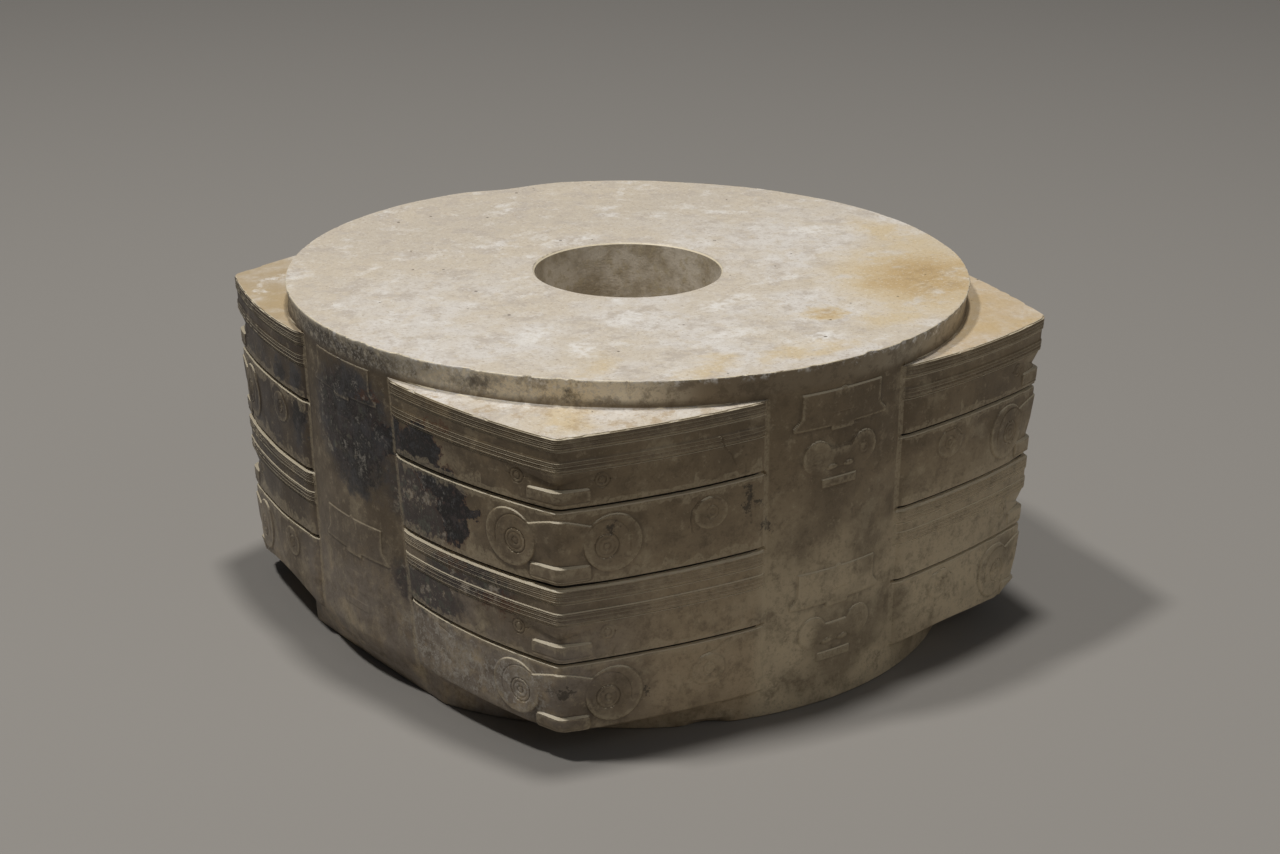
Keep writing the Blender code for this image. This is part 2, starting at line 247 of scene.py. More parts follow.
def face_plan(z, inset):
    """Where the faces of the blocks are, sunk by inset."""
    down = unit((BLOCK_TOP - z) / (BLOCK_TOP - BLOCK_FOOT))
    taper = TAPER * down * (TAPER_CURVE + (1.0 - TAPER_CURVE) * down)
    corner = (REACH[corner_of] - taper) / np.sqrt(2.0)
    edge = panel_half(z)
    angle = 90.0 * panel_of + sign_of * np.degrees(np.arcsin(edge / FOOT_RADIUS))
    edge_out = np.sqrt(wall_radius(z, angle) ** 2 - edge ** 2) + FACE_STEP
    bow = BOW[corner_of, face_of]
    outward = edge_out + (corner - edge_out) * share_of + bow * 4.0 * share_of * (1.0 - share_of)
    along = edge + (corner - edge) * share_of
    inset = inset + LOSS[corner_of] * fade(run_of, LOSS_REACH) * fade(z - BLOCK_FOOT, LOSS_HEIGHT)
    turn = share_of ** 2
    mitred = inset * MITRE * np.sqrt(0.5) * turn
    return plan_turned(outward - inset * (1.0 - turn) - mitred, along - mitred)


NOISE_CELLS, NOISE_SHIFT = 64, 1000.0  # the shift keeps every cell's number positive


def lattice_noise(x, y, z, size, seed):
    """Smooth noise from -1 to 1 whose bumps are about size across."""
    values = np.random.default_rng(seed).uniform(-1.0, 1.0, (NOISE_CELLS,) * 3)
    cells, parts = [], []
    for axis in (x, y, z):
        place = axis / size + NOISE_SHIFT
        whole = np.floor(place)
        part = place - whole
        cells.append(whole.astype(int))
        parts.append(part * part * (3.0 - 2.0 * part))
    result = 0.0
    for corner in range(8):
        steps = (corner & 1, corner >> 1 & 1, corner >> 2 & 1)
        weight = 1.0
        for step, part in zip(steps, parts):
            weight = weight * (part if step else 1.0 - part)
        i, j, k = ((cell + step) % NOISE_CELLS for cell, step in zip(cells, steps))
        result = result + weight * values[i, j, k]
    return result


# Carving of the faces. A raised plate or bar has a short steep edge, an incised line is a
# shallow V. Depths are measured in from the face, places as distance from the corner and
# height over the register's line
EDGE_WIDTH = 0.32
INCISED_HALF, HAIR_HALF = 0.28, 0.24  # half widths of a usual line and a fine one
# Top and line of each register, and the widths of its bands, plain strip and bands again
REGISTERS = ((82.1, 63.5, (3.4, 2.7, 2.9)), (63.15, 44.6, None),
             (44.25, 25.2, (3.65, 2.3, 3.2)), (24.85, 6.4, None))
STRIP, FIELD, BAND_PROUD = 0.16, 0.2, 0.1  # depths of plain strip and ground, height of a band
FINE_STEP, FINE_DEPTH = 0.5, 0.13  # the fine lines of a band
STRIP_LINE, FIELD_LINE, LINE_DROP = 0.3, 0.26, 0.1  # deeper lines along a band's foot
# The nose bar over the corner, with a hollow round it that meets in a slanting valley
NOSE_ENDS = (8.2, 8.0, 8.1, 7.4)
NOSE_TOP, NOSE_FOOT, NOSE_ROUNDING = 4.8, 1.1, 0.9
NOSE_LINE, NOSE_LINE_DEPTH, NOSE_LINE_HALF = 1.75, 0.12, 0.22
HOLLOW_DEPTH, HOLLOW_REACH, HOLLOW_FOOT, HOLLOW_CURVE = 1.2, 13.8, 0.5, 1.7
VALLEY_START, VALLEY_RISE = 5.8, 3.7
# The simple face's eyes, by register: two rings, radius and depth, and a tick on either side
SMALL_EYES = {0: (11.0, 6.7), 2: (12.0, 6.9)}
SMALL_RINGS = ((0.95, 0.2), (1.85, 0.17))
RING_HALF = 0.26
TICK, TICK_DEPTH = ((1.9, 0.0), (2.9, 0.2)), 0.15
# The mask: plates round its eyes joined by a low brow that dips from the corner, on a sunk
# ground, and stone that falls back between the eyes
PROUD, GROUND = 0.14, 0.2
PLATE, PLATE_RADII = (13.6, 9.7), (7.3, 7.0)
BROW_TOP, BROW_DIP, BROW_DIP_START, BROW_DIP_RUN, BROW_HALF = 16.25, 1.75, 1.4, 6.4, 8.6
MASK_FOOT = 6.0  # brow and lids fade out below this height
FALL, FALL_REACH, FALL_FOOT = 0.62, 10.0, 5.6
LID, LID_RADIUS, LID_SQUASH, LID_DEPTH = (12.0, 9.3), 6.0, 1.04, 0.18
EYE, EYE_RINGS = (12.0, 9.15), ((3.0, 0.26), (2.05, 0.15), (0.85, 0.2))
# Level grooves, with a steep upper side and a worn lower lip
GROOVE_HALF, GROOVE_DEPTH, GROOVE_SIDE = 0.46, 1.6, 0.12
GROOVE_LIP, GROOVE_LIP_DEPTH = 0.45, 0.5
# The round bird beside a mask, by block, face and register: its middle and its tail line.
# One face lost its own
BIRD_RADII, BIRD_PROUD = (4.6, 3.9), 0.24
BIRD_EYE, BIRD_RINGS = (0.3, 0.2), ((1.65, 0.2), (0.7, 0.18))
TAIL_DEPTH, TAIL_HALF = 0.2, 0.32
BIRD_USUAL = ((38.5, 12.6), ())
BIRDS = {
    (2, 0, 1): None,
    (2, 0, 3): (None, ((41.5, 16.2), (39.0, 15.8), (36.0, 15.0))),
    (2, 1, 1): ((39.0, 12.4),
                ((34.0, 8.6), (33.6, 11.4), (33.9, 13.9), (36.0, 16.0), (38.6, 16.5), (41.6, 15.2))),
    (2, 1, 3): ((38.5, 11.0), ((34.6, 13.0), (37.0, 14.9), (40.5, 15.6), (42.5, 17.1), (45.0, 17.8))),
    (3, 0, 1): ((37.5, 13.1), ((39.8, 16.4), (36.0, 16.7), (33.5, 14.4))),
    (3, 0, 3): ((37.5, 13.1), ((40.2, 16.6), (36.0, 17.1), (32.5, 14.1))),
}
# Cracks, by block and face, as distance from the corner and height
CRACKS = {(2, 1): (((41.0, 76.0), (44.0, 71.0), (47.0, 66.0), (49.0, 63.5), (50.0, 58.0), (50.2, 53.0),
                    (50.0, 51.0)),
                   ((47.5, 73.0), (49.0, 68.0), (48.5, 64.0)))}
CRACK_DEPTH, CRACK_WANDER, CRACK_WAVE = 0.2, 0.5, 1.6
# Edges that have been knocked: depth, reach and size, and how unlike two faces are
KNOCK_DEPTH, KNOCK_REACH, KNOCK_SIZE, KNOCK_FLOOR, KNOCK_SHIFT = 0.6, 0.9, 2.4, 0.2, 70.0


def inside(distance):
    """1 well inside an edge, 0 outside it, with the edge's short slope between."""
    return unit(distance / EDGE_WIDTH + 0.5)


def ellipse(t, z, middle, radii):
    """About how far a place lies inside an ellipse; negative outside it."""
    far = np.hypot((t - middle[0]) / radii[0], (z - middle[1]) / radii[1])
    return (1.0 - far) * min(radii)


def incised(distance, half=INCISED_HALF):
    """1 along an incised line, down to 0 at its half width."""
    return unit(1.0 - np.abs(distance) / half)


def ring(t, z, middle, radius, squash=1.0):
    """Distance out from a ring; negative inside it."""
    return np.hypot(t - middle[0], (z - middle[1]) / squash) - radius


def path_distance(t, z, points):
    """Distance from a line drawn through points."""
    nearest = np.full(np.broadcast(t, z).shape, np.inf)
    for (t0, z0), (t1, z1) in zip(points, points[1:]):
        length = (t1 - t0) ** 2 + (z1 - z0) ** 2
        share = unit(((t - t0) * (t1 - t0) + (z - z0) * (z1 - z0)) / length)
        nearest = np.minimum(nearest, np.hypot(t - t0 - share * (t1 - t0),
                                               z - z0 - share * (z1 - z0)))
    return nearest


def nose_bar(t, z, line, end):
    """How far a place lies inside the bar over the corner that stands for a nose."""
    low, high = line + NOSE_FOOT, line + NOSE_TOP
    middle, half = (low + high) / 2.0, (high - low) / 2.0
    over_t = np.maximum(t - (end - NOSE_ROUNDING), 0.0)
    over_z = np.maximum(np.abs(z - middle) - (half - NOSE_ROUNDING), 0.0)
    return NOSE_ROUNDING - np.hypot(over_t, over_z)


def with_nose(depth, t, z, line, end):
    """The nose bar stands at the height of the face, with a line cut along it."""
    nose = inside(nose_bar(t, z, line, end))
    return depth * (1.0 - nose) + NOSE_LINE_DEPTH * nose * incised(z - line - NOSE_LINE, NOSE_LINE_HALF)


def banded_register(t, z, top, line, bands, end, eye_at):
    """Two bands of fine lines with a plain strip between, over a small simple face."""
    upper, strip, lower = bands
    strip_top = top - upper
    strip_foot = strip_top - strip
    band_foot = strip_foot - lower
    in_strip = np.minimum(inside(strip_top - z), inside(z - strip_foot))
    in_field = inside(band_foot - z)
    depth = (STRIP + BAND_PROUD) * in_strip + (FIELD + BAND_PROUD) * in_field - BAND_PROUD
    fine = 0.5 - 0.5 * np.cos(2.0 * np.pi * (z - band_foot) / FINE_STEP)
    depth = depth + FINE_DEPTH * fine * (1.0 - in_strip) * (1.0 - in_field)
    depth = (depth + STRIP_LINE * incised(z - strip_top + LINE_DROP, HAIR_HALF)
             + FIELD_LINE * incised(z - band_foot + LINE_DROP, HAIR_HALF))
    # the stone round the nose is cut back in two planes that meet in a slanting valley
    valley = line + VALLEY_START + VALLEY_RISE * t / HOLLOW_REACH
    deep = HOLLOW_DEPTH * unit(1.0 - t / HOLLOW_REACH)
    above = unit((band_foot - z) / np.maximum(band_foot - valley, 0.3))
    below = unit((z - line - HOLLOW_FOOT) / (valley - line - HOLLOW_FOOT)) ** HOLLOW_CURVE
    depth = depth + deep * np.where(z > valley, above, below)
    depth = with_nose(depth, t, z, line, end)
    eye = (eye_at[0], line + eye_at[1])
    for radius, deep in SMALL_RINGS:
        depth = depth + deep * incised(ring(t, z, eye, radius), RING_HALF)
    for way in (-1.0, 1.0):
        tick = [(eye[0] + way * out, eye[1] + up) for out, up in TICK]
        depth = depth + TICK_DEPTH * incised(path_distance(t, z, tick), HAIR_HALF)
    return depth


def masked_register(t, z, line, end, bird):
    """A face with large ringed eyes over the corner, and a small round bird beside it."""
    # the mask stands above its ground: two eye plates joined by a low brow
    plate = ellipse(t, z, (PLATE[0], line + PLATE[1]), PLATE_RADII)
    dip = unit((t - BROW_DIP_START) / BROW_DIP_RUN) ** 1.2
    brow_top = line + BROW_TOP - BROW_DIP * dip
    brow = inside(np.minimum(brow_top - z, BROW_HALF - t)) * unit((z - line - MASK_FOOT) / 4.0)
    mask = np.maximum(inside(plate), brow)
    depth = GROUND * (1.0 - mask) - PROUD * mask
    # between the eyes the stone falls back down to the nose and past its ends
    fall = unit((brow_top - z) / (brow_top - line - FALL_FOOT))
    near_corner = unit(1.0 - t / FALL_REACH) ** 0.8
    depth = depth + FALL * near_corner * fall * (1.0 - inside(plate))
    lid = ring(t, z, (LID[0], line + LID[1]), LID_RADIUS, LID_SQUASH)
    lid_share = unit((z - line - MASK_FOOT) / 2.0)
    depth = depth + LID_DEPTH * incised(lid) * lid_share * inside(plate)
    for radius, deep in EYE_RINGS:
        depth = depth + deep * incised(ring(t, z, (EYE[0], line + EYE[1]), radius))
    depth = with_nose(depth, t, z, line, end)
    if bird is None:
        return depth
    middle, tail = bird
    if middle:
        t0, z0 = middle[0], line + middle[1]
        depth = depth - BIRD_PROUD * inside(ellipse(t, z, (t0, z0), BIRD_RADII))
        eye = (t0 + BIRD_EYE[0], z0 + BIRD_EYE[1])
        for radius, deep in BIRD_RINGS:
            depth = depth + deep * incised(ring(t, z, eye, radius), RING_HALF)
    if tail:
        depth = depth + TAIL_DEPTH * incised(path_distance(t, z - line, tail), TAIL_HALF)
    return depth


def face_carving(t, z, corner, face):
    """Depth of everything cut into one face of one block."""
    depth = np.zeros(np.broadcast(t, z).shape)
    for number, (top, line, bands) in enumerate(REGISTERS):
        rows = ((z <= top + 0.2) & (z > line - 0.2)).ravel()
        if not rows.any():
            continue
        end = NOSE_ENDS[number]
        if bands:
            depth[rows] = banded_register(t, z[rows], top, line, bands, end, SMALL_EYES[number])
        else:
            bird = BIRDS.get((corner, face, number), BIRD_USUAL)
            depth[rows] = masked_register(t, z[rows], line, end, bird)
    for line in LINES:
        up = z - line
        upper_side = unit((GROOVE_HALF - up) / GROOVE_SIDE)
        lower_side = unit((up + GROOVE_HALF) / GROOVE_SIDE + 0.5)
        cut = upper_side * lower_side
        lip = unit(1.0 + (up + GROOVE_HALF) / GROOVE_LIP) * (up <= 0.0)
        groove = np.maximum(GROOVE_DEPTH * cut, GROOVE_LIP_DEPTH * lip)
        depth = np.where(cut + lip > 0.0, np.maximum(depth, groove), depth)
    for crack in CRACKS.get((corner, face), ()):
        wander = CRACK_WANDER * lattice_noise(t, z, np.zeros(1), CRACK_WAVE, 11)
        depth = depth + CRACK_DEPTH * incised(path_distance(t + wander, z, crack), HAIR_HALF)
    shifted = t + KNOCK_SHIFT * (2 * corner + face)
    knocked = unit(lattice_noise(shifted, z, np.zeros(1), KNOCK_SIZE, 7) - KNOCK_FLOOR)
    for edge in (BLOCK_TOP,) + tuple(line - GROOVE_HALF for line in LINES):
        depth = depth + KNOCK_DEPTH * knocked * fade(edge - z, KNOCK_REACH) * (z <= edge + 0.05)
    return depth


# Carving of the groove panels: a feathered hat over a small face, twice on each panel. Each
# emblem has its middle and the height of its top edge, and its parts are placed from there
EMBLEMS = (((-0.3, 81.6), (0.4, 37.5)), ((0.2, 81.5), (-0.4, 38.2)),
           ((0.6, 82.0), (1.2, 41.1)), ((-0.6, 81.5), (0.9, 35.8)))
EMBLEM_LEFT = ((1.0, 1.0), (1.0, 1.0), (0.65, 0.3), (1.0, 1.0))  # share of hat and face not worn off
FACE_TOP = -10.5
HAT_PROUD, HAT_HALF, HAT_FLARE, HAT_FLARE_TOP, HAT_FLARE_RUN = 0.36, 11.9, 2.1, -5.4, 2.6
PEAK_HEIGHT, PEAK_HALF = 0.7, 0.9
HAT_EDGE, HAT_TONGUE, HAT_TONGUE_HALF = -8.9, 1.1, 3.4
FEATHER_STEP, FEATHER_DEPTH, FEATHER_LEAN = 0.9, 0.05, (1.1, 0.8)
FEATHERS_START, FEATHER_BORDER = 3.0, 0.7
HAT_LINE, HAT_LINE_DEPTH = ((-2.8, -5.7), (3.0, -5.7)), 0.12
CHEEKS, CHEEK_RADII, FACE_PROUD = ((-6.9, -16.2), (7.2, -16.2)), (4.1, 4.1), 0.34
BRIDGE_TOP, BRIDGE_FOOT, BRIDGE_HALF = -14.6, -19.6, 3.9
FACE_FADE = (-21.5, 4.0)  # where the face dies out below, and over what height
FACE_EYES, FACE_RINGS = ((-6.7, -16.4), (7.2, -16.4)), (1.6, 0.65)
FACE_RING_DEPTH, FACE_RING_HALF = 0.14, 0.27
NOSTRILS, NOSTRIL_RADII, NOSTRIL_PROUD = ((-2.5, -19.3), (2.6, -19.3)), (1.5, 0.75), 0.3
MOUTH, MOUTH_HALVES, MOUTH_PROUD = -23.2, (5.1, 1.05), 0.38


def emblem(y, z):
    """Raised height of one emblem, y across from its middle and z from its hat's top edge."""
    away = np.abs(y)
    half = HAT_HALF + HAT_FLARE * unit((HAT_FLARE_TOP - z) / HAT_FLARE_RUN) ** 1.5
    peak = PEAK_HEIGHT * unit(1.0 - away / PEAK_HALF)
    tongue = unit((HAT_TONGUE_HALF - away) / 0.4 + 0.5)
    foot = HAT_EDGE - HAT_TONGUE * tongue
    hat = np.minimum(np.minimum(peak - z, z - foot), half - away)
    raised = HAT_PROUD * inside(hat)
    across, up = FEATHER_LEAN
    feathers = 0.5 - 0.5 * np.cos(2.0 * np.pi * (y * across - np.sign(y) * z * up) / FEATHER_STEP)
    raised = raised - FEATHER_DEPTH * feathers * inside(hat - FEATHER_BORDER) * (away > FEATHERS_START)
    raised = raised - HAT_LINE_DEPTH * incised(path_distance(y, z, HAT_LINE))
    left, right = (inside(ellipse(y, z, cheek, CHEEK_RADII)) for cheek in CHEEKS)
    bridge = np.minimum(np.minimum(BRIDGE_TOP - z, z - BRIDGE_FOOT), BRIDGE_HALF - away)
    mask = np.maximum(np.maximum(left, right), inside(bridge))
    raised = raised + FACE_PROUD * mask * unit((z - FACE_FADE[0]) / FACE_FADE[1])
    for eye in FACE_EYES:
        for radius in FACE_RINGS:
            raised = raised - FACE_RING_DEPTH * incised(ring(y, z, eye, radius), FACE_RING_HALF)
    for nostril in NOSTRILS:
        raised = raised + NOSTRIL_PROUD * inside(ellipse(y, z, nostril, NOSTRIL_RADII))
    mouth = np.minimum(MOUTH_HALVES[0] - away, MOUTH_HALVES[1] - np.abs(z - MOUTH))
    return raised + MOUTH_PROUD * inside(mouth)


# Rows of the sheet: up the bore, out over the top, down the outside, in under the foot
zeros = np.zeros(len(columns))
top_level = BLOCK_TOP + zeros
top_plan = np.where(is_face[:, None], face_plan(top_level, zeros), floor_plan(top_level, zeros))
top_angle = np.degrees(np.arctan2(top_plan[:, 1], top_plan[:, 0]))


def round_row(radius, z, angle):
    """A row at the given radius, height and angle in degrees round the body."""
    turn = np.radians(angle)
    z = z + zeros
    return np.stack((radius * np.cos(turn), radius * np.sin(turn), z), axis=-1)


def lifted(flat, raised):
    """Side walls run from the panel's floor to the face's edge."""
    share = lift_of[:, None]
    return flat * (1.0 - share) + raised * share


rows = []
# bore
lead_in = 0.6
for z in spaced(0.0, (lead_in, 0.3), (41.5, 3.0), (47.5, 0.5), (HEIGHT - lead_in, 3.0), (HEIGHT, 0.3)):
    from_waist = abs(z - HEIGHT / 2.0)
    out = from_waist / (HEIGHT / 2.0)
    radius = BORE_WAIST + BORE_WAIST_STEP * min(1.0, out / 0.06)
    radius += (BORE_MOUTH - BORE_WAIST - BORE_WAIST_STEP) * out
    radius += BORE_MOUTH_ROUNDING * max(0.0, from_waist - HEIGHT / 2.0 + lead_in) / lead_in
    rows.append(round_row(radius + zeros, z, top_angle))
# top face, whose rim has one old flat
worn = RIM_FLAT[2] * angle_bump(top_angle, RIM_FLAT[0], RIM_FLAT[1])
around = np.radians(top_angle) * RIM_RADIUS
for middle, half, deep in RIM_CHIPS:
    worn = worn + deep * angle_bump(top_angle, middle, half)
coarse_chips, fine_chips = (
    lattice_noise(around, zeros, zeros, size, seed) for size, seed in zip(CHIP_SIZES, (5, 6)))
chips = unit(coarse_chips + 0.5 * fine_chips - CHIP_FLOOR)
worn = worn + chips * (0.25 + 0.75 * angle_bump(top_angle, *RIM_CHIPPED))
for share in spaced(0.0, (0.06, 0.03), (0.94, 0.035), (1.0, 0.02))[1:]:
    inner, outer = BORE_MOUTH + BORE_MOUTH_ROUNDING, RIM_RADIUS - RIM_ROUNDING - worn
    rows.append(round_row(inner + (outer - inner) * share, HEIGHT, top_angle))
for turn in np.radians((30.0, 60.0, 90.0)):
    radius = RIM_RADIUS - RIM_ROUNDING - worn + RIM_ROUNDING * math.sin(turn)
    rows.append(round_row(radius, HEIGHT - RIM_ROUNDING * (1.0 - math.cos(turn)), top_angle))
rim_z = HEIGHT - RIM_ROUNDING
cove_z = BLOCK_TOP + COVE_HEIGHT
for z in spaced(rim_z, (cove_z, 0.55))[1:]:
    drop = (z - cove_z) / (rim_z - cove_z)
    rows.append(round_row(wall_radius(z + zeros, top_angle) - worn * drop ** 1.5
                          + (RIM_RADIUS - wall_radius(rim_z, 0.0)) * drop, z, top_angle))
# cove, which dies out where the block's top has no width
ledge = np.where(is_face, np.hypot(*top_plan.T) - COLLAR_RADIUS, 0.0) * np.where(is_face, lift_of, 0.0)
cove = np.minimum(COVE, COVE_SHARE * ledge)
top_stray = stray(top_level)
base = BLOCK_TOP + top_stray * lift_of * cove / np.maximum(ledge, 1.0)
for turn in np.radians((18.0, 36.0, 54.0, 72.0, 90.0))[::-1]:
    z = base + (cove_z - base) * (1.0 - math.cos(turn))
    radius = wall_radius(z, top_angle) + cove * (1.0 - math.sin(turn))
    rows.append(round_row(radius, z, top_angle))
cove_row = round_row(COLLAR_RADIUS + cove, base, top_angle)
# the blocks' tops
face_top = np.column_stack((face_plan(top_level, TOP_EDGE_ROUNDING + zeros), BLOCK_TOP + top_stray))
panel_top = np.column_stack((floor_plan(top_level, zeros), top_level))
edge_row = lifted(panel_top, face_top)
cove_row = np.where(is_face[:, None], cove_row, panel_top)
for share in np.linspace(0.0, 1.0, 12)[:-1]:
    rows.append(cove_row + (edge_row - cove_row) * share)
top_count = len(rows)
# the outside, from the blocks' top edges to their feet
outside = spaced(BLOCK_TOP, (72.8, 0.11 * COARSE), (68.6, 0.24), (67.9, 0.1), (64.9, 0.33),
                 (61.4, 0.2), (58.6, 0.12 * COARSE), (49.7, 0.23 * COARSE), (48.9, 0.1), (46.0, 0.33),
                 (43.9, 0.1), (34.7, 0.11 * COARSE), (30.4, 0.24), (29.7, 0.1), (26.6, 0.33),
                 (24.5, 0.1), (23.2, 0.2), (20.4, 0.12 * COARSE), (11.7, 0.23 * COARSE), (10.9, 0.1),
                 (BLOCK_FOOT + 0.5, 0.33), (BLOCK_FOOT, 0.17))
z = outside[:, None] + zeros[None, :]
depth = np.zeros(z.shape)
for corner in range(4):
    for face in range(2):
        picked = is_face & (corner_of == corner) & (face_of == face)
        depth[:, picked] = face_carving(run_of[None, picked], outside[:, None], corner, face)
carved_depth = depth.copy()
depth += (TOP_EDGE_ROUNDING * fade(BLOCK_TOP - z, TOP_EDGE_REACH)
          + FOOT_EDGE_ROUNDING * fade(z - BLOCK_FOOT, FOOT_EDGE_REACH))
depth += (CORNER_WEAR * fade(run_of, CORNER_WEAR_REACH)
          + EDGE_WEAR[corner_of, face_of] * fade(FACE_RUN - run_of, EDGE_WEAR_REACH))
raised = np.zeros(z.shape)
along = panel_along(z) * sign_of
for number, pair in enumerate(EMBLEMS):
    picked = (panel_of == number) & (lift_of == 0.0)
    for middle, top in pair:
        left = np.where(z[:, picked] > top + FACE_TOP, *EMBLEM_LEFT[number])
        raised[:, picked] += left * emblem(along[:, picked] - middle, z[:, picked] - top)
floor = np.concatenate((floor_plan(z, raised), z[..., None]), axis=-1)
proud = np.concatenate((face_plan(z, depth), (z + stray(z))[..., None]), axis=-1)
share = lift_of[None, :, None]
block = floor * (1.0 - share) + proud * share
rows += list(block)
# under the blocks and in to the lower collar
under = block[-1]
under_angle = np.degrees(np.arctan2(under[:, 1], under[:, 0]))
foot_z = BLOCK_FOOT - UNDERCUT + zeros
foot_row = round_row(wall_radius(foot_z, under_angle), foot_z, under_angle)
for turn in np.radians((15.0, 30.0, 45.0, 60.0, 75.0, 90.0)):
    row = under.copy()
    row[:, :2] += (foot_row[:, :2] - under[:, :2]) * math.sin(turn)
    row[:, 2] += (foot_row[:, 2] - under[:, 2]) * (1.0 - math.cos(turn))
    rows.append(row)
for z_foot in spaced(BLOCK_FOOT - UNDERCUT, (FOOT_ROUNDING, 0.6), (0.0, 0.17))[1:]:
    lost = sum(deep * angle_bump(under_angle, middle, half) * max(0.0, 1.0 - z_foot / high)
               for middle, half, deep, high in FOOT_CHIPS)
    rounding = FOOT_ROUNDING * max(0.0, 1.0 - z_foot / FOOT_ROUNDING) ** 2
    rows.append(round_row(wall_radius(z_foot + zeros, under_angle) - lost - rounding, z_foot, under_angle))
outer = np.hypot(*rows[-1][:, :2].T)
for share in spaced(0.0, (0.04, 0.02), (1.0, 0.08))[1:-1]:
    mixed = under_angle + ((top_angle - under_angle + 180.0) % 360.0 - 180.0) * share
    rows.append(round_row(outer + (BORE_MOUTH + BORE_MOUTH_ROUNDING - outer) * share, 0.0, mixed))
rows.append(rows[0])
points = np.array(rows)

# Slight unevenness of hand-ground stone: broad and small swells, and a little less collar, so
# that a swell doesn't take it out of the solid
SWELL, SWELL_SIZE, SMALL_SWELL, SMALL_SWELL_SIZE = 0.16, 13.0, 0.05, 5.5
COLLAR_ROOM, COLLAR_START = 0.2, 83.0
x, y, zz = points[..., 0], points[..., 1], points[..., 2]
reach = np.hypot(x, y)
uneven = (SWELL * lattice_noise(x, y, zz, SWELL_SIZE, 3)
          + SMALL_SWELL * lattice_noise(x, y, zz, SMALL_SWELL_SIZE, 4)
          - COLLAR_ROOM * unit((zz - COLLAR_START) / 2.0))
top_face = zz > HEIGHT - 0.01
foot_face = zz < 0.01
outer_side = ~(top_face | foot_face) & (reach > 40.0)
scale = np.where(outer_side, 1.0 + uneven / np.maximum(reach, 1.0), 1.0)
x, y = x * scale, y * scale
zz = np.where(top_face, zz + np.minimum(0.0, 0.5 * uneven), zz)
points = np.stack((x, y, zz), axis=-1)


def blurred(values, reach, axis):
    """The mean of every value and its neighbours up to reach away along one axis."""
    padded = np.concatenate([np.take(values, [0], axis)] * (reach + 1) + [values]
                            + [np.take(values, [-1], axis)] * reach, axis)
    total = np.cumsum(padded, axis)
    count = values.shape[axis]
    return (np.take(total, range(2 * reach + 1, 2 * reach + 1 + count), axis)
            - np.take(total, range(count), axis)) / (2 * reach + 1)


# The sheet's first row and column meet its last ones, and are welded into one closed shell.
# The finest grooves and lines are closer than a coarser weld would leave apart
WELD = 0.0002
cong_mesh = bmesh.new()
bmesh.ops.create_grid(cong_mesh, x_segments=points.shape[1] - 1, y_segments=points.shape[0] - 1, size=1.0)
cong_data = bpy.data.meshes.new("jade_cong_carved")
cong_mesh.to_mesh(cong_data)
cong_mesh.free()
points[:, -1] = points[:, 0]
points[-1] = points[0]
cong_data.vertices.foreach_set("co", (points * MM).astype(np.float32).ravel())


def note(name, values):
    """Keeps a value for every point of the sheet, which the thinning carries along."""
    kept = cong_data.attributes.new(name, "FLOAT", "POINT")
    kept.data.foreach_set("value", values.astype(np.float32).ravel())


# Soil and painted shade: how much deeper a point is cut than the stone a few rows and columns round it, in
# mm: more than 0 where soil stays and shade is painted, less on proud edges, and at its most in the level
# grooves, painted as full shadow
SOIL_AND_SHADE_REACH, GROOVE_SHADE, RUBBED_EDGE = 4, 0.5, -0.14
outside_end = top_count + len(outside)
sunk = np.zeros(points.shape[:2])
sunk[top_count:outside_end] = np.where(is_face, carved_depth, FIELD - raised)
soil_and_shade = sunk - blurred(blurred(sunk, SOIL_AND_SHADE_REACH, 0), SOIL_AND_SHADE_REACH, 1)
# the level grooves take the most, for their painted shadow
soil_and_shade = np.where(sunk > GROOVE_DEPTH * 0.95, GROOVE_SHADE, soil_and_shade)
soil_and_shade[:top_count] = soil_and_shade[outside_end:] = 0.0
on_wall = (is_face & (lift_of < 1.0))[None, :].astype(float)
soil_and_shade[:, blurred(on_wall, SOIL_AND_SHADE_REACH, 1)[0] > 0.0] = 0.0
soil_and_shade[top_count:, blurred(on_wall, 1, 1)[0] > 0.0] = RUBBED_EDGE
note("soil_and_shade", soil_and_shade)
# Plain stone, to be thinned first: the bore, the top, the foot, and the back from this far in
# front of the axis as the camera stands
BACK_STARTS = 12.0
forward = points[..., 0] * math.sin(CAMERA_AZIMUTH) - points[..., 1] * math.cos(CAMERA_AZIMUTH)
turned_away = forward < BACK_STARTS
turned_away[:top_count] = turned_away[outside_end:] = True
note("plain", turned_away)
cong_mesh = bmesh.new()
cong_mesh.from_mesh(cong_data)
bmesh.ops.remove_doubles(cong_mesh, verts=cong_mesh.verts, dist=WELD * MM)
bmesh.ops.recalc_face_normals(cong_mesh, faces=cong_mesh.faces)
cong_mesh.to_mesh(cong_data)
cong_mesh.free()
cong_data.shade_smooth()
cong = bpy.data.objects.new("jade_cong_carved", cong_data)
bpy.context.scene.collection.objects.link(cong)

# The sheet is thinned in two goes, so that most of the triangles are left to the carving on
# the two sides that show it best: first the worn back, bore, top and foot, then the rest
TRIANGLES, TRIANGLES_PLAIN = 196_000, 54_000
SHARP = math.radians(15.0)
FLAT_WEIGHT = 60  # how far big flat faces rule the shading of small ones


def thinned(piece, chosen, kept):
    """The piece's mesh with its chosen points thinned until kept triangles are left in all."""
    group = piece.vertex_groups.new(name="thin here")
    group.add(np.flatnonzero(chosen).tolist(), 1.0, "REPLACE")
    thin = piece.modifiers.new("thin plain stone", "DECIMATE")
    thin.vertex_group = group.name
    thin.vertex_group_factor = 1.0
    thin.ratio = kept / sum(len(face.vertices) - 2 for face in piece.data.polygons)
    mesh = bpy.data.meshes.new_from_object(piece.evaluated_get(bpy.context.evaluated_depsgraph_get()))
    piece.modifiers.clear()
    piece.vertex_groups.clear()
    return mesh


def noted(mesh, name):
    """The values kept for every point of a mesh."""
    values = np.empty(len(mesh.vertices), np.float32)
    mesh.attributes[name].data.foreach_get("value", values)
    return values


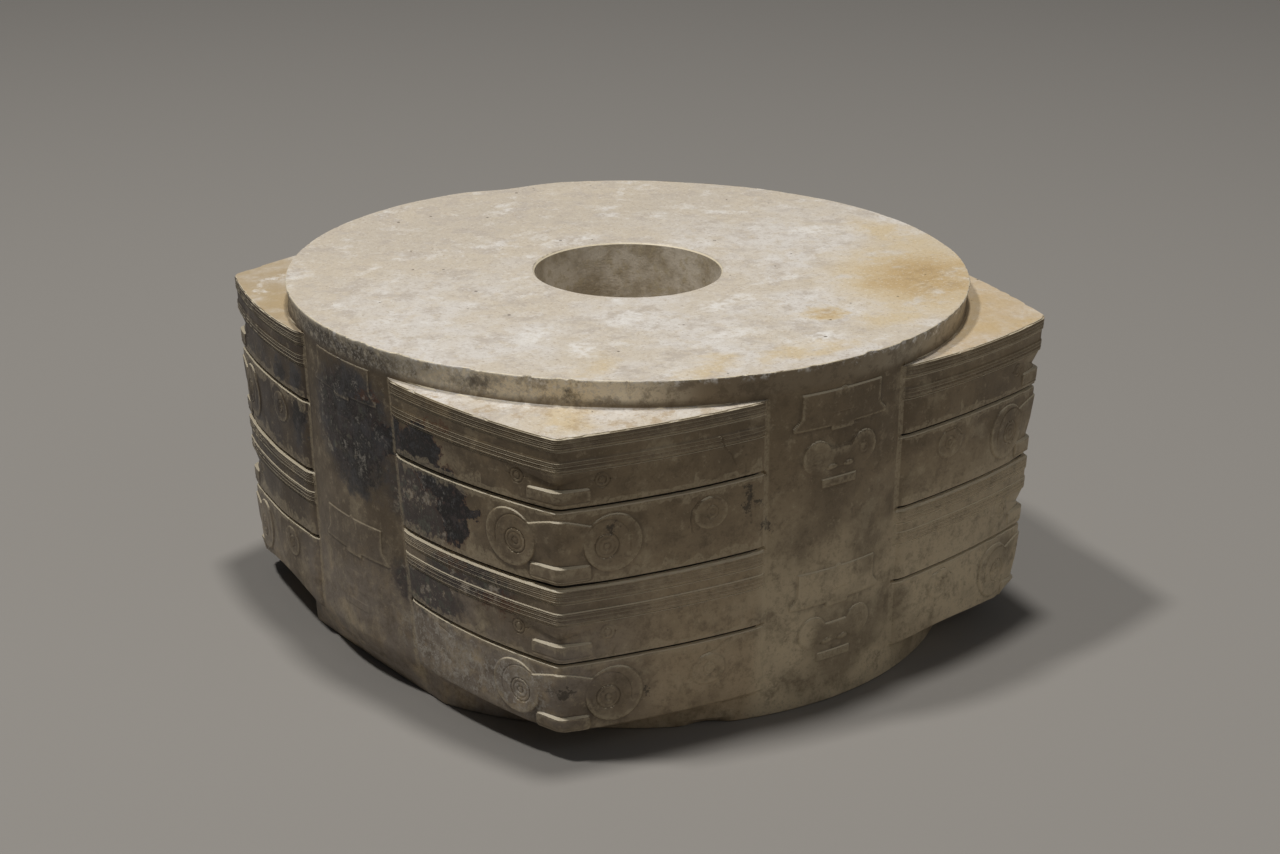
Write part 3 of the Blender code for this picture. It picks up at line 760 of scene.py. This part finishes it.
plain = noted(cong_data, "plain") > 0.5
count = sum(len(face.vertices) - 2 for face in cong_data.polygons)
plain_count = int(count * plain.mean())
cong.data = thinned(cong, plain, count - plain_count + TRIANGLES_PLAIN)
cong.data = thinned(cong, noted(cong.data, "plain") < 0.5, TRIANGLES)
cong.data.shade_smooth()
cong.data.set_sharp_from_angle(angle=SHARP)
even = cong.modifiers.new("flat ground stays flat", "WEIGHTED_NORMAL")
even.keep_sharp = True
even.weight = FLAT_WEIGHT
cong_data = bpy.data.meshes.new_from_object(cong.evaluated_get(bpy.context.evaluated_depsgraph_get()))
cong.modifiers.clear()
cong.data = cong_data
cong_data.attributes.remove(cong_data.attributes["plain"])

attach(cong, "root")
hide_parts("jade_cong")


def add(kind, inputs=None, **settings):
    """Adds a node of the stone's material; its inputs are values or the sockets that feed it."""
    node = tree.nodes.new("ShaderNode" + kind)
    for name, value in settings.items():
        setattr(node, name, value)
    for name, value in (inputs or {}).items():
        socket = node.inputs[name]
        if isinstance(value, bpy.types.NodeSocket):
            tree.links.new(value, socket)
        else:
            socket.default_value = value
    return node


def linear(hex_colour):
    """An sRGB colour such as "8a7a66" as linear RGBA."""
    parts = [int(hex_colour[n:n + 2], 16) / 255.0 for n in (0, 2, 4)]
    return tuple(c / 12.92 if c <= 0.04045 else ((c + 0.055) / 1.055) ** 2.4 for c in parts) + (1.0,)


# Nephrite whose surface has altered in the ground: cream where it was rubbed, olive brown
# where it wasn't, with soil stains. Ground and polished by hand, it has a waxy half shine
CREAM, CREAM_WARM, CREAM_GREY, CREAM_SHADED_BACK = "e2dacf", "d6c8b2", "c2b6a7", "c9baa2"
CHALK, SPECK, PIT = "f3eee6", "a5917a", "5c4c38"
OCHRE, OCHRE_PALE, OCHRE_DEEP, OCHRE_DULL = "c6a877", "d9c39b", "a88a5e", "b49c74"
OLIVE, UMBER, BUFF_AND_FLOOR_BOUNCE, BUFF_PALE_AND_FLOOR_BOUNCE, MAUVE, SOOT = "8d7a5d", "66563f", "bfa988", "e6d5b2", "8d8277", "4b4136"
FILM, FILM_BROWN, WEATHERED = "f0e3c8", "8a785d", "d0bf9e"
STAIN_BLACK, STAIN_PLUM, STAIN_BLUE, STAIN_BROWN = "1d1a19", "40383b", "4a4a4e", "40382d"
STAIN_RUST, STAIN_GREEN, DUST = "643b22", "64675a", "cbc4b8"
DARK_SOIL_AND_SHADE, RUBBED_AND_HIGHLIT = "281f16", "f2e3c4"
BORE_PALE, BORE_BUFF, BORE_BROWN = "e4d8c4", "c9b998", "b0a085"
MM_PER_METRE = 1000.0

stone = bpy.data.materials.new("altered nephrite, ground and waxy")
stone.use_nodes = True
tree = stone.node_tree
shader = tree.nodes["Principled BSDF"]
object_place = add("TexCoord").outputs["Object"]
in_mm = add("Mapping", {"Vector": object_place, "Scale": (MM_PER_METRE,) * 3}).outputs["Vector"]
x_mm, y_mm, z_mm = add("SeparateXYZ", {"Vector": in_mm}).outputs
flat_place = add("CombineXYZ", {"X": x_mm, "Y": y_mm}).outputs[0]
from_axis = add("VectorMath", {0: flat_place}, operation="LENGTH").outputs["Value"]
true_normal = add("NewGeometry").outputs["True Normal"]
facing_up = add("SeparateXYZ", {"Vector": true_normal}).outputs["Z"]
soil_and_shade = add("Attribute", attribute_name="soil_and_shade").outputs["Fac"]

# Clouds in the stone, by the size of their spots in mm, their detail and how rough they are
broad, medium, smear, chalky, small, fine = (
    add("TexNoise", {"Vector": in_mm, "Scale": 1.0 / size, "Detail": detail, "Roughness": rough}).outputs[0]
    for size, detail, rough in ((26.0, 3.0, 0.6), (8.3, 4.0, 0.65), (5.2, 5.0, 0.78),
                                (11.0, 6.0, 0.72), (2.3, 5.0, 0.72), (0.8, 3.0, 0.7)))


def wandering(size, detail, reach):
    """Places that wander by up to about reach, every size or so, so that an outline is ragged."""
    swing = add("TexNoise", {"Vector": in_mm, "Scale": 1.0 / size, "Detail": detail, "Roughness": 0.75})
    way = add("VectorMath", {0: swing.outputs["Color"], 1: (3.0 * reach,) * 3, 2: (-1.5 * reach,) * 3},
              operation="MULTIPLY_ADD").outputs[0]
    return add("VectorMath", {0: in_mm, 1: way}, operation="ADD").outputs[0]


ragged = wandering(3.0, 6.0, 3.6)
loose = wandering(10.0, 3.0, 5.0)


def share_of_surface(*spans):
    """1 where every value has passed from its first limit to its second, 0 where one is yet to."""
    total = None
    for value, start, end in spans:
        passed = add("MapRange", {"Value": value, "From Min": start, "From Max": end},
                     interpolation_type="SMOOTHSTEP").outputs["Result"]
        total = passed if total is None else add(
            "Math", {0: total, 1: passed}, operation="MULTIPLY").outputs[0]
    return total


def coats(under, *layers):
    """Lays colours over what is there, each at its strength where every value has passed its span."""
    for over, strength, *spans in layers:
        share = add("Math", {0: share_of_surface(*spans), 1: strength}, operation="MULTIPLY").outputs[0]
        under, over = (linear(paint) if isinstance(paint, str) else paint for paint in (under, over))
        under = add("Mix", {0: share, 6: under, 7: over}, data_type="RGBA").outputs[2]
    return under


def patches(place, *marks):
    """How deep a place lies in the nearest patch: 1 at its middle, 0 at its edge, less outside."""
    depth = None
    for middle, radii, *turn in marks:
        own = add("Mapping", {"Vector": place, "Location": middle, "Scale": radii,
                              "Rotation": (0.0, 0.0, math.radians(sum(turn)))}, vector_type="TEXTURE")
        far = add("VectorMath", {0: own.outputs["Vector"]}, operation="LENGTH").outputs["Value"]
        near = add("Math", {0: 1.0, 1: far}, operation="SUBTRACT").outputs[0]
        depth = near if depth is None else add(
            "Math", {0: depth, 1: near}, operation="MAXIMUM").outputs[0]
    return depth


flat_top = share_of_surface((facing_up, 0.6, 0.9), (z_mm, 80.0, 81.2))

# Sides: olive brown high up, buff towards the foot, greyer and sootier on the -X side. The buff is
# partly the stone's paler tone and partly painted light bounced up from the floor. Each coat has its
# colour, its strength and the spans that it lies in
sides = coats(
    OLIVE,
    # paler towards the foot: partly the stone's tone, partly painted light bounced up from the floor
    (BUFF_AND_FLOOR_BOUNCE, 1.0, (z_mm, 76.0, 12.0)),
    (MAUVE, 0.9, (x_mm, -40.0, -72.0), (z_mm, 62.0, 20.0), (medium, 0.25, 0.55)),
    (SOOT, 0.62, (x_mm, -60.0, -80.0), (z_mm, 25.0, 70.0), (medium, 0.3, 0.62)),
    (SOOT, 0.45, (y_mm, -24.0, -18.0), (x_mm, -50.0, -70.0), (z_mm, 20.0, 35.0)),
    # the -Y panel paler towards the foot: partly the stone's tone, partly painted light bounced up from the
    # floor
    (BUFF_PALE_AND_FLOOR_BOUNCE, 0.55, (x_mm, -25.0, -19.0), (y_mm, -60.0, -70.0), (z_mm, 66.0, 20.0)),
    (SOOT, 0.95, (y_mm, 18.0, 30.0), (x_mm, -50.0, -70.0), (z_mm, 12.0, 40.0), (small, 0.1, 0.35)),
    (STAIN_PLUM, 0.4, (y_mm, 16.0, 24.0), (x_mm, -50.0, -70.0), (z_mm, 30.0, 50.0)),
    (UMBER, 0.65, (broad, 0.45, 0.66)),
    (UMBER, 0.55, (smear, 0.48, 0.7)),
    (UMBER, 0.35, (small, 0.5, 0.68)),
    (WEATHERED, 0.35, (small, 0.45, 0.3)),
    (WEATHERED, 0.35, (chalky, 0.52, 0.68)),
    (SOOT, 0.25, (fine, 0.55, 0.7)))

# Top: rubbed cream with chalky clouds and ochre where iron came in
cream = coats(
    CREAM,
    # painted shade: the back of the top is darker, where less light reaches it
    (CREAM_SHADED_BACK, 0.7, (y_mm, -5.0, 50.0), (z_mm, 88.0, 88.5)),
    (CREAM_WARM, 0.85, (broad, 0.42, 0.62)),
    (CREAM_GREY, 0.85, (medium, 0.48, 0.66)),
    (CREAM_WARM, 0.6, (smear, 0.5, 0.62)),
    (CREAM_GREY, 0.4, (small, 0.5, 0.64)),
    (CHALK, 0.6, (chalky, 0.53, 0.68)),
    (CHALK, 0.25, (small, 0.44, 0.34)))
# Each patch has its middle and radii in mm, and its turn in degrees if it has one
pale_ochre = patches(
    loose, ((76.0, -14.0, 89.0), (12.0, 20.0, 9.0)), ((28.0, -69.0, 89.0), (16.0, 8.0, 9.0)),
    ((-52.0, -57.0, 85.0), (13.0, 9.0, 9.0), 35.0), ((-30.0, -72.0, 89.0), (16.0, 7.0, 5.0), 20.0),
    ((-5.0, -77.0, 89.0), (22.0, 6.0, 5.0)), ((-66.0, -66.0, 82.0), (13.0, 9.0, 4.0), 45.0),
    ((-78.0, 50.0, 82.0), (13.0, 24.0, 5.0), 20.0), ((60.0, -74.0, 82.0), (26.0, 9.0, 5.0)))
deep_ochre = patches(
    loose, ((57.0, -50.0, 89.0), (21.0, 27.0, 8.0), -40.0), ((17.5, -57.0, 89.0), (6.0, 4.0, 5.0)))
chalk = patches(
    ragged, ((-12.0, -57.0, 89.0), (9.0, 4.5, 5.0)), ((3.0, -37.0, 89.0), (13.0, 5.0, 5.0), 10.0),
    ((5.0, -71.0, 89.0), (9.0, 5.0, 5.0)), ((-51.0, -31.0, 89.0), (10.0, 4.5, 5.0), 40.0),
    ((-47.0, -46.0, 89.0), (9.0, 4.5, 5.0), 60.0), ((-24.0, -33.0, 89.0), (9.0, 4.5, 5.0), 20.0),
    ((3.0, 29.0, 89.0), (14.0, 4.5, 5.0)), ((60.0, 0.0, 89.0), (9.0, 4.5, 5.0)),
    ((-74.0, 58.5, 82.0), (2.2, 8.0, 3.0), -33.0), ((-65.5, 64.6, 82.0), (6.5, 1.8, 3.0)),
    ((-70.0, -52.0, 82.0), (9.0, 3.0, 3.0), -45.0))
cream = coats(
    cream,
    (OCHRE_PALE, 0.8, (pale_ochre, 0.0, 0.7), (medium, 0.25, 0.6)),
    (OCHRE_PALE, 0.85, (deep_ochre, -0.6, 0.3), (medium, 0.2, 0.5)),
    (OCHRE, 0.85, (deep_ochre, 0.0, 0.6), (medium, 0.3, 0.55)),
    (OCHRE_DEEP, 0.45, (deep_ochre, 0.35, 0.8), (smear, 0.45, 0.6)),
    (SPECK, 0.5, (fine, 0.55, 0.68)),
    (CHALK, 0.45, (fine, 0.42, 0.32)))
on_ledge = (z_mm, 84.0, 83.0)
cream = coats(
    cream,
    (OCHRE, 0.6, on_ledge, (x_mm, 20.0, 40.0), (smear, 0.2, 0.55)),
    (OCHRE_DULL, 0.75, on_ledge, (y_mm, 5.0, 20.0), (x_mm, -50.0, -60.0), (medium, 0.2, 0.55)),
    (OCHRE_DEEP, 0.45, on_ledge, (x_mm, -25.0, -45.0), (y_mm, 10.0, -20.0), (smear, 0.5, 0.62)),
    (CHALK, 0.75, (chalk, 0.0, 0.6), (small, 0.66, 0.36)))
# Pinholes about half a millimetre wide, one in each cell of this size at the most
PIT_SPACING = 5.5
pits = add("TexVoronoi", {"Vector": in_mm, "Scale": 1.0 / PIT_SPACING}).outputs["Distance"]
pinholes = share_of_surface((pits, 0.1, 0.06), (medium, 0.53, 0.57))
cream = coats(cream, (PIT, 0.8, (pinholes, 0.2, 0.8)))

# The collar has a buff film, sooty on the left and flaked white along its rim
collar = coats(
    FILM,
    (FILM_BROWN, 0.95, (x_mm, -52.0, -34.0), (medium, 0.1, 0.4)),
    (FILM, 0.3, (x_mm, -5.0, 25.0)),
    (UMBER, 0.6, (smear, 0.46, 0.62)),
    (CHALK, 0.75, (small, 0.47, 0.6), (z_mm, 86.9, 88.3), (smear, 0.4, 0.55)),
    (SOOT, 0.95, (x_mm, -50.0, -66.0), (y_mm, -46.0, -8.0), (z_mm, 89.2, 87.0), (small, 0.25, 0.55)),
    (DUST, 0.7, (x_mm, -40.0, -60.0), (fine, 0.5, 0.62)))
for first, last in ((-52.0, -64.0), (-4.0, 2.0)):
    collar = coats(collar, (CHALK, 0.9, (x_mm, first, last), (y_mm, 8.0, -2.0), (z_mm, 84.5, 88.4),
                            (chalky, 0.45, 0.55), (small, 0.52, 0.6)))
colour = coats(
    sides,
    (collar, 1.0, (z_mm, 82.3, 84.5)),
    (cream, 1.0, (flat_top, 0.0, 1.0)))
bore = coats(
    BORE_PALE,
    (BORE_BROWN, 0.9, (medium, 0.4, 0.66)),
    (BORE_BUFF, 0.7, (small, 0.5, 0.64)))
colour = coats(colour, (bore, 1.0, (from_axis, 26.0, 24.5), (z_mm, 89.0, 88.3)))

# Soil stains on the -X side: dark with rusty edges, and dust caught in them
black_marks = patches(
    ragged, ((-76.0, -32.0, 68.0), (30.0, 7.5, 6.8)), ((-76.0, -22.0, 66.3), (30.0, 12.0, 4.6)),
    ((-76.0, -37.0, 61.5), (30.0, 8.0, 4.0)),
    ((-76.0, -42.0, 56.0), (30.0, 5.0, 10.0)), ((-76.0, -47.0, 56.5), (30.0, 4.0, 2.0)),
    ((-76.0, -22.0, 71.5), (30.0, 2.6, 2.0)))
panel_marks = patches(
    ragged, ((-84.0, -3.0, 69.0), (20.0, 18.0, 15.0)), ((-84.0, -6.0, 58.0), (20.0, 14.0, 12.0)),
    ((-81.0, 25.5, 62.0), (12.0, 4.5, 14.0)), ((-81.0, 35.0, 68.0), (12.0, 4.0, 5.0)))
dusty = patches(
    ragged, ((-76.0, -29.5, 54.0), (30.0, 16.0, 14.0)), ((-84.0, -2.0, 66.0), (20.0, 20.0, 18.0)),
    ((-76.0, -45.0, 40.0), (30.0, 18.0, 6.0)), ((-76.0, -30.0, 31.0), (30.0, 18.0, 8.0)))
rusty = patches(
    ragged, ((-76.0, -55.0, 36.5), (30.0, 8.0, 3.6)), ((-76.0, -40.0, 42.5), (30.0, 6.0, 2.5)),
    ((-76.0, -38.0, 75.5), (30.0, 6.0, 1.6)), ((-84.0, -11.0, 75.5), (30.0, 5.0, 2.0)))
rubbed_low = patches(
    ragged, ((-76.0, -36.0, 17.0), (30.0, 22.0, 11.0)), ((-76.0, -60.0, 17.0), (30.0, 12.0, 9.0)))
side_spots = patches(
    ragged, ((-26.0, -80.0, 58.5), (1.2, 20.0, 4.5)), ((-20.5, -80.0, 50.7), (2.0, 20.0, 2.0)),
    ((-22.5, -80.0, 57.2), (1.2, 20.0, 1.2)), ((-60.0, -80.0, 57.5), (1.2, 20.0, 1.0)),
    ((-50.0, -80.0, 14.8), (1.2, 20.0, 1.0)), ((-70.0, -80.0, 17.5), (3.4, 20.0, 1.6)))
collar_marks = patches(
    ragged, ((-61.2, -60.2, 85.2), (2.6, 2.6, 2.8)), ((-42.3, -74.8, 87.6), (0.7, 0.7, 1.8)),
    ((-73.5, -43.0, 86.0), (8.0, 8.0, 3.4)))
# A web of pale scratches, with meshes about this wide
WEB_SPACING = 4.2
web = add("TexVoronoi", {"Vector": ragged, "Scale": 1.0 / WEB_SPACING},
          feature="DISTANCE_TO_EDGE").outputs["Distance"]
on_side = (add("Math", {0: 1.0, 1: flat_top}, operation="SUBTRACT").outputs[0], 0.4, 0.6)
colour = coats(
    colour,
    (STAIN_PLUM, 0.85, (dusty, 0.0, 0.4), (smear, 0.36, 0.48)),
    (STAIN_GREEN, 0.7, (dusty, 0.0, 0.5), (small, 0.52, 0.6)),
    (STAIN_RUST, 0.8, (black_marks, -0.06, 0.04), (smear, 0.62, 0.52)),
    (STAIN_PLUM, 0.9, (black_marks, 0.0, 0.08), (small, 0.74, 0.6)),
    (STAIN_BLACK, 0.97, (black_marks, 0.04, 0.12), (small, 0.62, 0.54), (smear, 0.64, 0.55)),
    (STAIN_BLUE, 0.7, (black_marks, 0.05, 0.2), (small, 0.5, 0.42), (fine, 0.42, 0.55)),
    (STAIN_BLUE, 0.85, (panel_marks, 0.0, 0.3), (medium, 0.62, 0.4)),
    (STAIN_BLACK, 0.93, (panel_marks, 0.1, 0.5), (smear, 0.58, 0.42)),
    (STAIN_RUST, 0.7, (rusty, 0.0, 0.3), (small, 0.42, 0.56)),
    (DUST, 0.5, (dusty, 0.05, 0.4), (smear, 0.47, 0.36), (fine, 0.36, 0.58)),
    (DUST, 0.5, (dusty, 0.05, 0.4), (small, 0.44, 0.34), (fine, 0.5, 0.6)),
    (DUST, 0.8, (rubbed_low, 0.0, 0.4), (web, 0.12, 0.03), (small, 0.42, 0.6)),
    (DUST, 0.35, (rubbed_low, 0.0, 0.4), (chalky, 0.46, 0.6), (fine, 0.4, 0.6)),
    (STAIN_BROWN, 0.75, (side_spots, 0.0, 0.3)),
    (STAIN_BROWN, 0.8, (collar_marks, 0.0, 0.9), on_side, (smear, 0.3, 0.5)))

# Soil lies in what is cut deep, with painted shade over it where a cut doesn't look up and painted shadow
# in the level grooves; edges that stand proud are rubbed pale, and edges that look up are rubbed pale with
# a painted highlight
colour = coats(
    colour,
    # soil in the cuts, darkened further as painted shade where they don't look up
    (DARK_SOIL_AND_SHADE, 0.6, on_side, (soil_and_shade, 0.03, 0.24), (facing_up, 0.4, 0.2)),
    (WEATHERED, 0.42, on_side, (soil_and_shade, -0.02, -0.11), (fine, 0.3, 0.6)),
    # pale where edges look up: rubbed wear and a painted highlight from the lamps overhead
    (RUBBED_AND_HIGHLIT, 0.9, on_side, (facing_up, 0.5, 0.68), (z_mm, 3.0, 9.0), (small, 0.86, 0.6)),
    # painted shadow, near black, in the level grooves and the deepest cuts
    (DARK_SOIL_AND_SHADE, 0.97, on_side, (soil_and_shade, 0.2, 0.34)))
tree.links.new(colour, shader.inputs["Base Color"])
# The shine comes and goes with the clouds. The marks of grinding are finer than this grain,
# which is drawn as coarse as it needs to show
SHINIEST, DULLEST = 0.38, 0.56
GRAIN_HEIGHT, GRAIN_STRENGTH, PIT_DEPTH = 0.14 * MM, 0.7, -0.6
shine = add("MapRange", {"Value": medium, "From Min": 0.3, "From Max": 0.7,
                         "To Min": SHINIEST, "To Max": DULLEST})
tree.links.new(shine.outputs["Result"], shader.inputs["Roughness"])
grain = add("Math", {0: small, 1: fine}, operation="ADD").outputs[0]
pitted = add("Math", {0: pinholes, 1: PIT_DEPTH, 2: grain}, operation="MULTIPLY_ADD").outputs[0]
bump = add("Bump", {"Height": pitted, "Strength": GRAIN_STRENGTH, "Distance": GRAIN_HEIGHT})
tree.links.new(bump.outputs["Normal"], shader.inputs["Normal"])
cong_data.materials.append(stone)


# ----------------------------------------
# Floor: a plain pale matt surface under the stone. It isn't part of the object.
# ----------------------------------------
FLOOR_SIZE = 6.0
FLOOR_GREY, FLOOR_ROUGHNESS = "96918a", 0.9
floor_mesh = bmesh.new()
bmesh.ops.create_grid(floor_mesh, x_segments=1, y_segments=1, size=FLOOR_SIZE / 2.0)
floor_data = bpy.data.meshes.new("floor")
floor_mesh.to_mesh(floor_data)
floor_mesh.free()
floor_object = bpy.data.objects.new("floor", floor_data)
bpy.context.scene.collection.objects.link(floor_object)
matt = bpy.data.materials.new("pale matt board")
matt.use_nodes = True
board = matt.node_tree.nodes["Principled BSDF"]
board.inputs["Base Color"].default_value = linear(FLOOR_GREY)
board.inputs["Roughness"].default_value = FLOOR_ROUGHNESS
floor_data.materials.append(matt)


# ----------------------------------------
# Light: a soft key from high on the left, a broad soft light overhead and a low fill.
# ----------------------------------------
LIT_POINT = Vector((0.0, 0.0, 50.0 * MM))
WORLD_COLOUR, WORLD_STRENGTH = "d8dce4", 0.075


def soft_light(name, direction, distance, size, power):
    """A round soft lamp that points at the stone from its direction; metres and watts."""
    data = bpy.data.lights.new(name, "AREA")
    data.shape = "DISK"
    data.size = size
    data.energy = power
    lamp = bpy.data.objects.new(name, data)
    bpy.context.scene.collection.objects.link(lamp)
    way = Vector(direction).normalized()
    turned = way.to_track_quat("Z", "Y").to_matrix().to_4x4()
    lamp.matrix_world = Matrix.Translation(LIT_POINT + way * distance) @ turned


soft_light("left lamp", (-31.4, 11.3, 82.0), distance=1.6, size=0.16, power=10.7)
soft_light("overhead lamp", (1.0, -1.5, 82.0), distance=1.5, size=0.16, power=10.4)
soft_light("front fill", (0.25, -1.0, 0.55), distance=1.5, size=1.2, power=1.7)
world = bpy.data.worlds.new("dim room")
bpy.context.scene.world = world
world.use_nodes = True
world.node_tree.nodes["Background"].inputs["Color"].default_value = linear(WORLD_COLOUR)
world.node_tree.nodes["Background"].inputs["Strength"].default_value = WORLD_STRENGTH
